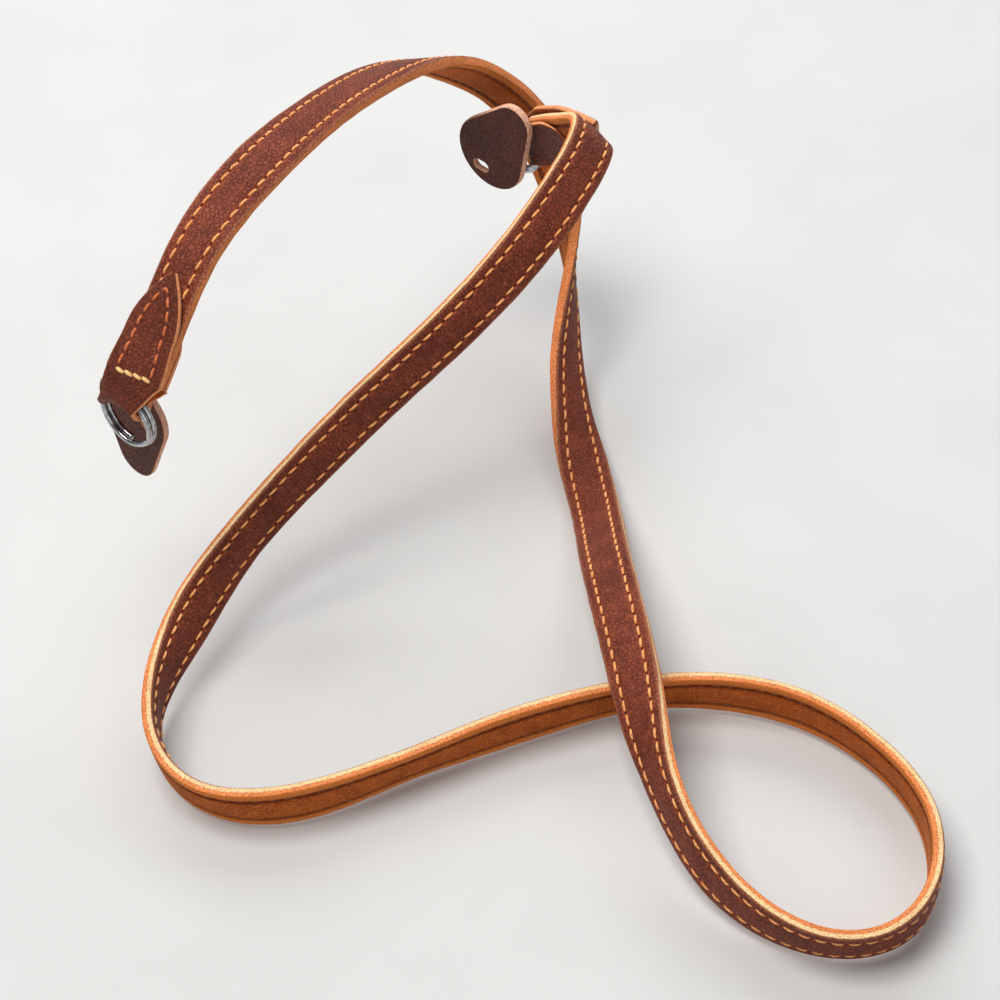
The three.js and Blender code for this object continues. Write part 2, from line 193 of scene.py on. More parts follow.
def loft(name, grid, along, column_uv, kinds, mats, capmat=None):
    """grid: rows x columns x 3. kinds: per column, the material of the faces to the next column; column_uv: per column,
    (across, height). A face's uv is (along, across) on a broad side and (along, height) on an edge, kinds say which."""
    rows, cols = grid.shape[:2]
    verts = grid.reshape(-1, 3)
    r = np.arange(rows - 1)[:, None]
    c = np.arange(cols)[None, :]
    c2 = (c + 1) % cols
    faces = np.stack([r * cols + c, r * cols + c2, (r + 1) * cols + c2, (r + 1) * cols + c], -1).reshape(-1, 4)
    face_mat = np.tile(np.array([k[0] for k in kinds]), rows - 1)
    edge = np.array([k[1] for k in kinds])
    cuv = np.broadcast_to(np.asarray(column_uv, float), (rows, cols, 2)) if np.ndim(column_uv) == 2 else column_uv
    a = np.broadcast_to(np.asarray(along, float)[:, None], (rows, cols))
    here = np.where(edge[None, :], cuv[:, :, 1], cuv[:, :, 0])
    nxt = np.where(edge[None, :], np.roll(cuv, -1, 1)[:, :, 1], np.roll(cuv, -1, 1)[:, :, 0])
    uv = np.stack([
        np.stack([a[:-1], here[:-1]], -1), np.stack([a[:-1], nxt[:-1]], -1),
        np.stack([a[1:], nxt[1:]], -1), np.stack([a[1:], here[1:]], -1)], 2).reshape(-1, 2)
    faces = faces.tolist()
    face_mat = face_mat.tolist()
    uv = uv.tolist()
    if capmat is not None:
        for row in (0, rows - 1):
            loop = [row * cols + k for k in range(cols)]
            if row:
                loop = loop[::-1]
            # a fan from the middle of the section
            mid = grid[row].mean(0)
            verts = np.vstack([verts, mid])
            for k in range(cols):
                faces.append([len(verts) - 1, loop[(k + 1) % cols], loop[k]])
                face_mat.append(capmat)
                uv += [[0, 0], [0.5, 0.3 * k], [0.5, 0.3 * k + 0.3]]
    ob = make_mesh(name, verts, faces, mats, face_mat, uv)
    outward(ob)
    return ob


def tubes(name, paths, radii, mat, sides=6):
    """paths: list of (n x 3) point rows; radii: per path, a row of radii."""
    verts, faces = [], []
    for pts, rad in zip(paths, radii):
        pts = np.asarray(pts)
        t = unit(np.gradient(pts, axis=0))
        ref = np.array([0.0, 0.0, 1.0]) if abs(t[0, 2]) < 0.9 else np.array([1.0, 0.0, 0.0])
        a = unit(np.cross(t, ref))
        b = np.cross(t, a)
        ang = np.arange(sides) * 2 * math.pi / sides
        ring = pts[:, None] + np.asarray(rad)[:, None, None] * (np.cos(ang)[None, :, None] * a[:, None] + np.sin(ang)[None, :, None] * b[:, None])
        base = len(verts)
        verts += ring.reshape(-1, 3).tolist()
        n = len(pts)
        for i in range(n - 1):
            for j in range(sides):
                k = (j + 1) % sides
                faces.append((base + i * sides + j, base + i * sides + k, base + (i + 1) * sides + k, base + (i + 1) * sides + j))
        faces.append(tuple(base + j for j in range(sides))[::-1])
        faces.append(tuple(base + (n - 1) * sides + j for j in range(sides)))
    ob = make_mesh(name, np.array(verts), faces, [mat])
    outward(ob)
    return ob


# ---- materials -------------------------------------------------------------------------------------------------------
class Mat:
    def __init__(self, name):
        self.m = bpy.data.materials.new(name)
        self.m.use_nodes = True
        self.t = self.m.node_tree
        self.t.nodes.clear()
        self.out = self.t.nodes.new("ShaderNodeOutputMaterial")
        self.b = self.t.nodes.new("ShaderNodeBsdfPrincipled")
        self.t.links.new(self.b.outputs[0], self.out.inputs[0])

    def put(self, sock, val):
        if isinstance(val, bpy.types.NodeSocket):
            self.t.links.new(val, sock)
        elif hasattr(sock.default_value, "__len__"):
            sock.default_value = (*val, 1.0) if len(val) == 3 and len(sock.default_value) == 4 else val
        else:
            sock.default_value = val

    def math(self, op, a, b=0.0, c=0.0, clamp=False):
        n = self.t.nodes.new("ShaderNodeMath")
        n.operation = op
        n.use_clamp = clamp
        for s, v in zip(n.inputs, (a, b, c)):
            self.put(s, v)
        return n.outputs[0]

    def ramp(self, v, lo, hi, to0=0.0, to1=1.0):
        n = self.t.nodes.new("ShaderNodeMapRange")
        n.interpolation_type = "SMOOTHSTEP"
        for k, x in zip((0, 1, 2, 3, 4), (v, lo, hi, to0, to1)):
            self.put(n.inputs[k], x)
        return n.outputs[0]

    def mix(self, f, a, b, kind="MIX"):
        n = self.t.nodes.new("ShaderNodeMix")
        n.data_type = "RGBA"
        n.blend_type = kind
        self.put(n.inputs[0], f)
        self.put(n.inputs[6], a)
        self.put(n.inputs[7], b)
        return n.outputs[2]

    def uv(self, sx=1.0, sy=1.0):
        n = self.t.nodes.new("ShaderNodeUVMap")
        n.uv_map = "run"
        if sx == 1.0 and sy == 1.0:
            return n.outputs[0]
        m = self.t.nodes.new("ShaderNodeMapping")
        m.inputs[3].default_value = (sx, sy, 1)
        self.t.links.new(n.outputs[0], m.inputs[0])
        return m.outputs[0]

    def xy(self, vec):
        n = self.t.nodes.new("ShaderNodeSeparateXYZ")
        self.t.links.new(vec, n.inputs[0])
        return n.outputs[0], n.outputs[1]

    def obj(self, scale=1000.0):
        n = self.t.nodes.new("ShaderNodeTexCoord")
        m = self.t.nodes.new("ShaderNodeMapping")
        m.inputs[3].default_value = (scale,) * 3
        self.t.links.new(n.outputs[3], m.inputs[0])
        return m.outputs[0]

    def noise(self, vec, scale, detail=3.0, rough=0.55, dist=0.0):
        n = self.t.nodes.new("ShaderNodeTexNoise")
        self.t.links.new(vec, n.inputs["Vector"])
        n.inputs["Scale"].default_value = scale
        n.inputs["Detail"].default_value = detail
        n.inputs["Roughness"].default_value = rough
        n.inputs["Distortion"].default_value = dist
        return n.outputs[0]

    def cells(self, vec, scale, feature="DISTANCE_TO_EDGE"):
        n = self.t.nodes.new("ShaderNodeTexVoronoi")
        n.feature = feature
        self.t.links.new(vec, n.inputs["Vector"])
        n.inputs["Scale"].default_value = scale
        return n.outputs["Distance"]

    def warped(self, vec, scale, amount):
        """The vector moved about by a noise, so that cells are not straight-sided."""
        n = self.t.nodes.new("ShaderNodeTexNoise")
        self.t.links.new(vec, n.inputs["Vector"])
        n.inputs["Scale"].default_value = scale
        n.inputs["Detail"].default_value = 2.0
        a = self.t.nodes.new("ShaderNodeVectorMath")
        a.operation = "MULTIPLY_ADD"
        self.t.links.new(n.outputs[1], a.inputs[0])
        a.inputs[1].default_value = (amount,) * 3
        self.t.links.new(vec, a.inputs[2])
        return a.outputs[0]

    def bump(self, h, dist, strength=1.0, after=None):
        n = self.t.nodes.new("ShaderNodeBump")
        n.inputs["Strength"].default_value = strength
        n.inputs["Distance"].default_value = dist
        self.t.links.new(h, n.inputs["Height"])
        if after is not None:
            self.t.links.new(after, n.inputs["Normal"])
        return n.outputs[0]

    def set(self, **kw):
        names = {"color": "Base Color", "rough": "Roughness", "metal": "Metallic", "normal": "Normal", "spec": "Specular IOR Level",
                 "sheen": "Sheen Weight", "sheen_rough": "Sheen Roughness", "sheen_tint": "Sheen Tint", "coat": "Coat Weight", "coat_rough": "Coat Roughness"}
        for k, v in kw.items():
            self.put(self.b.inputs[names[k]], v)
        return self.m


GRAIN_DARK, GRAIN_MID, GRAIN_LIGHT = (0.135, 0.0190, 0.0060), (0.240, 0.0440, 0.0160), (0.38, 0.105, 0.046)
SUEDE_DARK, SUEDE_MID, SUEDE_LIGHT = (0.26, 0.044, 0.0065), (0.42, 0.088, 0.014), (0.76, 0.235, 0.052)
EDGE_PALE, EDGE_WARM, EDGE_SPECK = (0.93, 0.68, 0.37), (0.74, 0.37, 0.13), (0.26, 0.085, 0.025)
# painted shade: orange colours of the cut edge, standing for edge faces turned from the light
EDGE_SHADE_ORANGE, EDGE_SHADE_ORANGE_DARK = (0.90, 0.32, 0.115), (0.48, 0.095, 0.022)


def leather_grain(name, stitched=0.0, border=0.0, half=6.0, tone=1.0):
    """Pebbled grain leather. stitched: rows at that distance from the middle pull the leather down and redden it."""
    m = Mat(name)
    uv = m.uv()
    s, v = m.xy(uv)
    big = m.noise(uv, 0.09, 4, 0.6)
    mid = m.noise(uv, 0.55, 4, 0.6)
    warp = m.noise(uv, 1.1, 2, 0.5)
    bent = m.warped(uv, 1.1, 0.55)
    peb = m.cells(bent, 0.98)
    peb2 = m.cells(bent, 2.3)
    fine = m.noise(uv, 6.0, 3, 0.6)
    crown = m.ramp(peb, 0.0, 0.20)
    crown2 = m.ramp(peb2, 0.02, 0.30)
    c = m.mix(m.ramp(big, 0.30, 0.70), tuple(x * tone for x in GRAIN_DARK), tuple(x * tone for x in GRAIN_MID))
    c = m.mix(m.math("MULTIPLY", m.ramp(mid, 0.45, 0.80), 0.55), c, tuple(x * tone for x in GRAIN_LIGHT))
    deep = m.ramp(m.noise(uv, 0.45, 3, 0.6), 0.35, 0.65, 0.30, 0.85)
    c = m.mix(m.math("MULTIPLY", m.math("SUBTRACT", 1.0, crown), deep), c, tuple(x * tone * 0.42 for x in GRAIN_DARK))
    c = m.mix(m.math("MULTIPLY", crown2, 0.12), c, tuple(x * tone for x in GRAIN_LIGHT))
    av = m.math("ABSOLUTE", v)
    if border:
        # rubbed lighter towards the cut edge
        rub = m.math("MULTIPLY", m.ramp(av, half - border, half - 0.1), m.ramp(m.noise(uv, 1.6, 3), 0.35, 0.65, 0.25, 0.9))
        c = m.mix(rub, c, (0.46, 0.17, 0.085))
    pull = None
    if stitched:
        row = m.math("ABSOLUTE", m.math("SUBTRACT", av, stitched))
        ph = m.math("FRACT", m.math("ADD", m.math("DIVIDE", s, STITCH_PITCH), 0.5))
        ds = m.math("MULTIPLY", m.math("ABSOLUTE", m.math("SUBTRACT", ph, 0.5)), STITCH_PITCH)
        d = m.math("SQRT", m.math("ADD", m.math("MULTIPLY", ds, ds), m.math("MULTIPLY", row, row)))
        near = m.ramp(d, 0.35, 1.15, 1.0, 0.0)
        band = m.ramp(row, 0.15, 0.75, 1.0, 0.0)
        c = m.mix(m.math("MULTIPLY", near, 0.40), c, (0.42, 0.075, 0.020))
        c = m.mix(m.math("MULTIPLY", band, 0.30), c, (0.30, 0.050, 0.016))
        # painted shade: the stitch holes are darkened almost to black, for the shade inside them
        hole = m.ramp(d, 0.18, 0.42, 1.0, 0.0)
        c = m.mix(m.math("MULTIPLY", hole, 0.85), c, (0.05, 0.012, 0.008))
        pull = m.math("MULTIPLY", m.math("ADD", near, hole), -0.5)
    height = m.math("ADD", m.math("MULTIPLY", crown, 0.75), m.math("MULTIPLY", crown2, 0.25))
    height = m.math("ADD", height, m.math("MULTIPLY", fine, 0.18))
    height = m.math("ADD", height, m.math("MULTIPLY", warp, 0.5))
    nrm = m.bump(height, 0.00022, 1.0)
    if pull is not None:
        nrm = m.bump(pull, 0.0003, 0.8, nrm)
    rough = m.ramp(mid, 0.3, 0.75, 0.44, 0.62)
    rough = m.math("ADD", rough, m.math("MULTIPLY", m.math("SUBTRACT", 1.0, crown), 0.12))
    return m.set(color=c, rough=rough, normal=nrm, spec=0.24)


def leather_suede(name, grooves=0.0):
    m = Mat(name)
    uv = m.uv()
    s, v = m.xy(uv)
    av = m.math("ABSOLUTE", v)
    cloud = m.noise(uv, 0.16, 4, 0.6)
    nap = m.noise(m.uv(1.0, 1.5), 1.2, 4, 0.65, 0.6)
    fib = m.noise(m.uv(1.0, 1.3), 2.3, 4, 0.72, 0.3)
    dots = m.noise(uv, 3.4, 2, 0.6)
    c = m.mix(m.ramp(cloud, 0.3, 0.7), SUEDE_DARK, SUEDE_MID)
    c = m.mix(m.math("MULTIPLY", m.ramp(nap, 0.42, 0.72), 0.6), c, SUEDE_LIGHT)
    if grooves:
        c = m.mix(m.ramp(av, grooves, grooves + 0.8, 0.0, 0.70), c, SUEDE_LIGHT)
    c = m.mix(m.math("MULTIPLY", m.ramp(fib, 0.54, 0.68), 0.65), c, tuple(min(1.0, x * 1.3) for x in SUEDE_LIGHT))
    c = m.mix(m.math("MULTIPLY", m.ramp(dots, 0.38, 0.50, 1.0, 0.0), 0.65), c, tuple(x * 0.5 for x in SUEDE_DARK))
    if grooves:
        row = m.math("ABSOLUTE", m.math("SUBTRACT", av, grooves))
        row = m.math("ADD", row, m.math("MULTIPLY", m.math("SUBTRACT", nap, 0.5), 0.9))
        line = m.ramp(row, 0.10, 1.15, 1.0, 0.0)
        c = m.mix(m.math("MULTIPLY", line, m.ramp(v, -0.1, 0.1, 0.92, 0.60)), c, (0.110, 0.018, 0.004))
    h = m.math("ADD", m.math("MULTIPLY", nap, 0.5), m.math("MULTIPLY", fib, 0.6))
    h = m.math("ADD", h, m.math("MULTIPLY", dots, 0.4))
    return m.set(color=c, rough=0.93, normal=m.bump(h, 0.00022, 0.9), spec=0.10, sheen=0.18, sheen_rough=0.45, sheen_tint=(1.0, 0.55, 0.25))


def leather_edge(name, pink=0.0, half=1.5, all_shaded=False, lower=None, tones=((0.74, 0.40, 0.31), (0.50, 0.15, 0.09))):
    """Raw cut edge: pale with brown specks, or the darker orange copy all through, which is painted shade. lower: below
    that height the edge always takes the orange painted shade.
    uv y is the height."""
    m = Mat(name)
    uv = m.uv()
    s, h = m.xy(uv)
    long_ = m.noise(m.uv(0.10, 0.2), 1.0, 3, 0.6)
    grit = m.noise(m.uv(1.0, 1.6), 1.5, 5, 0.72)
    speck = m.noise(m.uv(1.0, 1.3), 2.6, 4, 0.72)
    ragged = m.noise(m.uv(1.0, 0.3), 0.9, 4, 0.7)
    pale = tuple(a * (1 - pink) + b * pink for a, b in zip(EDGE_PALE, tones[0]))
    warm = tuple(a * (1 - pink) + b * pink for a, b in zip(EDGE_WARM, tones[1]))
    raw = m.mix(m.ramp(long_, 0.42, 0.78, 0.0, 0.7), pale, warm)
    raw = m.mix(m.math("MULTIPLY", m.ramp(grit, 0.50, 0.66), 0.75), raw, warm)
    raw = m.mix(m.math("MULTIPLY", m.ramp(speck, 0.52, 0.62), 0.90), raw, EDGE_SPECK)
    # painted shade: a darker orange copy of the cut edge, used where the edge is turned from the light
    shaded_edge = m.mix(m.ramp(long_, 0.35, 0.72), EDGE_SHADE_ORANGE, tuple(0.75 * x for x in EDGE_SHADE_ORANGE))
    shaded_edge = m.mix(m.math("MULTIPLY", m.ramp(grit, 0.46, 0.62), 0.8), shaded_edge, EDGE_SHADE_ORANGE_DARK)
    shaded_edge = m.mix(m.math("MULTIPLY", m.ramp(speck, 0.36, 0.47, 1.0, 0.0), 0.8), shaded_edge, tuple(0.3 * x for x in EDGE_SHADE_ORANGE_DARK))
    shaded_edge = m.mix(m.math("MULTIPLY", m.ramp(speck, 0.58, 0.68), 0.75), shaded_edge, tuple(min(1.0, 1.5 * x) for x in EDGE_SHADE_ORANGE))
    if all_shaded:
        c = shaded_edge
    elif lower is not None:
        # painted shade: below height lower, the downward part of the edge takes the orange shaded copy
        line = m.math("ADD", h, m.math("MULTIPLY", m.math("SUBTRACT", ragged, 0.5), 1.5))
        c = m.mix(m.ramp(line, lower - 0.10, lower + 0.10), shaded_edge, raw)
    else:
        c = raw
    c = m.mix(m.ramp(h, half - 0.62, half - 0.38, 0.0, 0.85), c, GRAIN_MID)
    hh = m.math("ADD", m.math("MULTIPLY", grit, 0.8), m.math("MULTIPLY", speck, 0.5))
    return m.set(color=c, rough=0.88, normal=m.bump(hh, 0.00028, 0.9), spec=0.15)


def thread(name, color, dark):
    m = Mat(name)
    o = m.obj()
    n = m.noise(o, 2.4, 4, 0.65)
    w = m.noise(o, 0.25, 2, 0.5)
    c = m.mix(m.ramp(n, 0.35, 0.65), color, dark)
    c = m.mix(m.ramp(w, 0.45, 0.75, 0.0, 0.5), c, dark)
    return m.set(color=c, rough=0.72, normal=m.bump(m.noise(o, 7.0, 2, 0.5), 0.00008, 0.7), spec=0.3, sheen=0.2)


def steel(name):
    m = Mat(name)
    o = m.obj()
    n = m.noise(o, 0.5, 3, 0.6)
    scr = m.noise(o, 9.0, 2, 0.5)
    # partly the steel's own grey, partly painted reflection: the colour is darkened, down to 0.30 in patches, for the
    # dark surroundings the ring reflects
    c = m.mix(m.ramp(n, 0.35, 0.7), (0.50, 0.50, 0.51), (0.30, 0.30, 0.32))
    return m.set(color=c, rough=m.ramp(n, 0.3, 0.8, 0.10, 0.22), metal=1.0, normal=m.bump(scr, 0.000015, 0.4))


M_GRAIN = leather_grain("strap_grain", stitched=STITCH_ROW, border=0.9, half=WIDTH / 2)
M_SUEDE = leather_suede("strap_suede", grooves=STITCH_ROW)
# painted shade: the lower band of the -w edge and the whole +w edge take the orange shaded copy
M_EDGE = leather_edge("strap_edge", lower=-0.15, half=1.3)
M_EDGE_SHADED = leather_edge("strap_edge_painted_shade", all_shaded=True, half=1.3)
M_TAB = leather_grain("tab_grain", border=0.7, half=TAB_W / 2, tone=0.74)
M_TAB_BACK = leather_suede("tab_flesh")
M_TAB_EDGE = leather_edge("tab_edge", pink=0.5, half=0.9)
# painted shade: a warmer, darker copy of the tab's edge colour, put on the tab's +w side edge only
M_TAB_EDGE_SHADED = leather_edge("tab_edge_warm", pink=1.0, half=1.0, tones=((0.86, 0.37, 0.17), (0.66, 0.19, 0.065)))
# painted shadow: the patches are darkened (tone 0.52) for the shadow they lie in, and their backs are darker still
# (0.45)
M_PATCH = leather_grain("patch_grain", tone=0.52)
M_PATCH_BACK = leather_grain("patch_back_grain", tone=0.45)
M_PATCH_EDGE = leather_edge("patch_edge", pink=0.75, half=1.1)
M_THREAD = thread("thread_cream", (0.93, 0.50, 0.17), (0.68, 0.20, 0.045))
M_THREAD_RED = thread("thread_orange", (0.74, 0.22, 0.06), (0.46, 0.075, 0.018))
M_THREAD_DARK = thread("thread_back", (0.30, 0.10, 0.035), (0.10, 0.03, 0.012))
M_THREAD_FAT = thread("thread_pale", (0.92, 0.66, 0.28), (0.76, 0.36, 0.10))
M_STEEL = steel("ring_polish")


# ---- the two ends ----------------------------------------------------------------------------------------------------
def smooth(k):
    k = np.clip(k, 0, 1)
    return k * k * (3 - 2 * k)


class End:
    def __init__(self, name, first):
        e = ENDS[name]
        self.name, self.first = name, first
        self.centre, self.up = np.array(e["centre"], float), unit(np.array(e["up"], float))
        self.inward, self.crown, self.slot = e["inward"], e["crown"], e["slot"]
        self.turn, self.stand_off = math.radians(e["turn"]), e["off"]
        self.wire = self.centre + self.up * RING_R
        d = np.arange(0, 30, 0.05)
        p = frames(d if first else TOTAL - d)[0]
        far = np.linalg.norm(p - self.wire, axis=1) >= NECK
        self.start = d[np.argmax(far)]
        self.wf = (self.wire, self.up, np.array([-self.inward, 0.0, 0.0]))

    def frame(self, d):
        s = self.start + np.atleast_1d(d)
        p, t, n, w = frames(s if self.first else TOTAL - s)
        t = t if self.first else -t
        return p, t, n, np.cross(t, n)


LEFT, RIGHT = End("left", True), End("right", False)
S0, S1 = LEFT.start, TOTAL - RIGHT.start


def piece(ob, node=None):
    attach(ob, "root")
    if node:
        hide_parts(node)
    return ob


# ---- strap -----------------------------------------------------------------------------------------------------------
def strap_top(a, hole):
    """Height of the grain side at distance a from the middle; hole 0..1 deepens the stitch row."""
    h = np.interp(a, [0, 1.6, 2.7, 3.2, STITCH_ROW, 3.9, 4.4, 5.5, 5.85, 6.0], [1.50, 1.48, 1.40, 1.28, 1.12, 1.22, 1.26, 1.16, 1.02, 0.86])
    return h - hole * 0.16 * np.exp(-((a - STITCH_ROW) / 0.35) ** 2)


def strap_bottom(a, hole):
    h = np.interp(a, [0, 2.4, 3.1, STITCH_ROW, 4.0, 4.5, 5.6, 5.9, 6.0], [-1.48, -1.46, -1.38, -1.08, -1.34, -1.42, -1.38, -1.26, -1.15])
    return h + hole * 0.08 * np.exp(-((a - STITCH_ROW) / 0.35) ** 2)


top_v = np.array([-6, -5.93, -5.8, -5.4, -4.8, -4.3, -3.95, -3.72, -3.55, -3.38, -3.15, -2.8, -2.2, -1.5, -0.75, 0])
top_v = np.concatenate([top_v, -top_v[-2::-1]])
bot_v = np.array([6, 5.9, 5.5, 4.8, 4.2, 3.85, 3.55, 3.25, 2.9, 2.2, 1.1, 0])
bot_v = np.concatenate([bot_v, -bot_v[-2::-1]])
side_k = np.array([0.14, 0.33, 0.5, 0.67, 0.86])
s_row = np.concatenate([[S0], np.arange(math.ceil(S0 / 0.85) * 0.85 + 0.4, S1 - 0.4, 0.85), [S1]])
P, T, N, W = frames(s_row)
hole = np.exp(-((((s_row / STITCH_PITCH + 0.5) % 1) - 0.5) * STITCH_PITCH / 0.55) ** 2)
cols_v, cols_h, kinds = [], [], []
half_l = WIDTH / 2 * 0.992 + 0.05 * wobble(s_row, 3)
half_r = WIDTH / 2 * 0.992 + 0.05 * wobble(s_row, 4)
puff = 0.03 * wobble(s_row, 5)
for v in top_v:
    hw = half_l if v < 0 else half_r
    cols_v.append(v / 6.0 * hw)
    cols_h.append(np.array([float(strap_top(abs(v), x)) for x in hole]) + puff * (abs(v) < 3))
    kinds.append((0, False))
kinds[-1] = (3, True)
for k in side_k:
    bulge = 0.06 * math.sin(k * math.pi)
    cols_v.append(half_r + bulge)
    cols_h.append(strap_top(6, 0) * (1 - k) + strap_bottom(6, 0) * k + 0 * s_row)
    kinds.append((3, True))
for v in bot_v:
    hw = half_l if v < 0 else half_r
    cols_v.append(v / 6.0 * hw)
    cols_h.append(np.array([float(strap_bottom(abs(v), x)) for x in hole]) - puff * (abs(v) < 3))
    kinds.append((1, False))
kinds[-1] = (2, True)
for k in side_k[::-1]:
    bulge = 0.06 * math.sin(k * math.pi)
    cols_v.append(-half_l - bulge)
    cols_h.append(strap_top(6, 0) * (1 - k) + strap_bottom(6, 0) * k + 0 * s_row)
    kinds.append((2, True))
CV, CH = np.stack(cols_v, 1), np.stack(cols_h, 1)
grid = P[:, None] + CV[:, :, None] * W[:, None] + CH[:, :, None] * N[:, None]
strap = piece(loft("strap_leather", grid, s_row, np.stack([CV, CH], -1), kinds, [M_GRAIN, M_SUEDE, M_EDGE, M_EDGE_SHADED], capmat=2), "strap")


def arc_stitch(a, b, n, lift, sink, r, steps=7):
    """A stitch from a to b that rises out of the leather along n and dives in at both ends."""
    k = np.linspace(0, 1, steps)
    h = -sink + (lift + sink) * np.sin(np.pi * k) ** 0.5
    return a + (b - a) * k[:, None] + n * h[:, None], r * (0.62 + 0.38 * np.sin(np.pi * k) ** 0.6)


def strap_stitches(name, side, mat, lift, sink, r, visible, skew):
    paths, radii = [], []
    first, last = math.ceil((S0 + 1) / STITCH_PITCH), math.floor((S1 - 1) / STITCH_PITCH)
    rng = np.random.default_rng(11 if side > 0 else 12)
    for row in (-1, 1):
        k = np.arange(first, last)
        a_s = (k + 0.5 - visible / 2 / STITCH_PITCH) * STITCH_PITCH
        b_s = (k + 0.5 + visible / 2 / STITCH_PITCH) * STITCH_PITCH
        fa, fb = frames(a_s), frames(b_s)
        base = strap_top(STITCH_ROW, 0) if side > 0 else -strap_bottom(STITCH_ROW, 0)
        jit = rng.normal(0, 0.05, (len(k), 2))
        for i in range(len(k)):
            n = side * unit(fa[2][i] + fb[2][i])
            a = fa[0][i] + fa[3][i] * (row * STITCH_ROW - skew + jit[i, 0]) + side * fa[2][i] * base
            b = fb[0][i] + fb[3][i] * (row * STITCH_ROW + skew + jit[i, 1]) + side * fb[2][i] * base
            p, q = arc_stitch(a, b, n, lift, sink, r)
            paths.append(p)
            radii.append(q)
    return piece(tubes(name, paths, radii, mat), None)


strap_stitches("strap_stitches", 1, M_THREAD, 0.13, 0.34, 0.345, 2.7, 0.16)
strap_stitches("strap_back_stitches", -1, M_THREAD_DARK, -0.02, 0.25, 0.22, 2.5, -0.10)


# ---- end tabs --------------------------------------------------------------------------------------------------------
RHO = THICK / 2 + TAB_GAP + TAB_T / 2


def tab_half(d):
    body, fold = TAB_W / 2, TAB_FOLD_W / 2
    flare = body + (TAB_FAR_W / 2 - body) * smooth((d - 2) / TAB_SHOULDER)
    h = fold + (flare - fold) * smooth((d + NECK) / 6)
    k = (d - (TAB_OUTER - TAB_TIP)) / TAB_TIP
    return np.where(k <= 0, h, h * (1 - 0.93 * np.maximum(k, 0) ** 2))


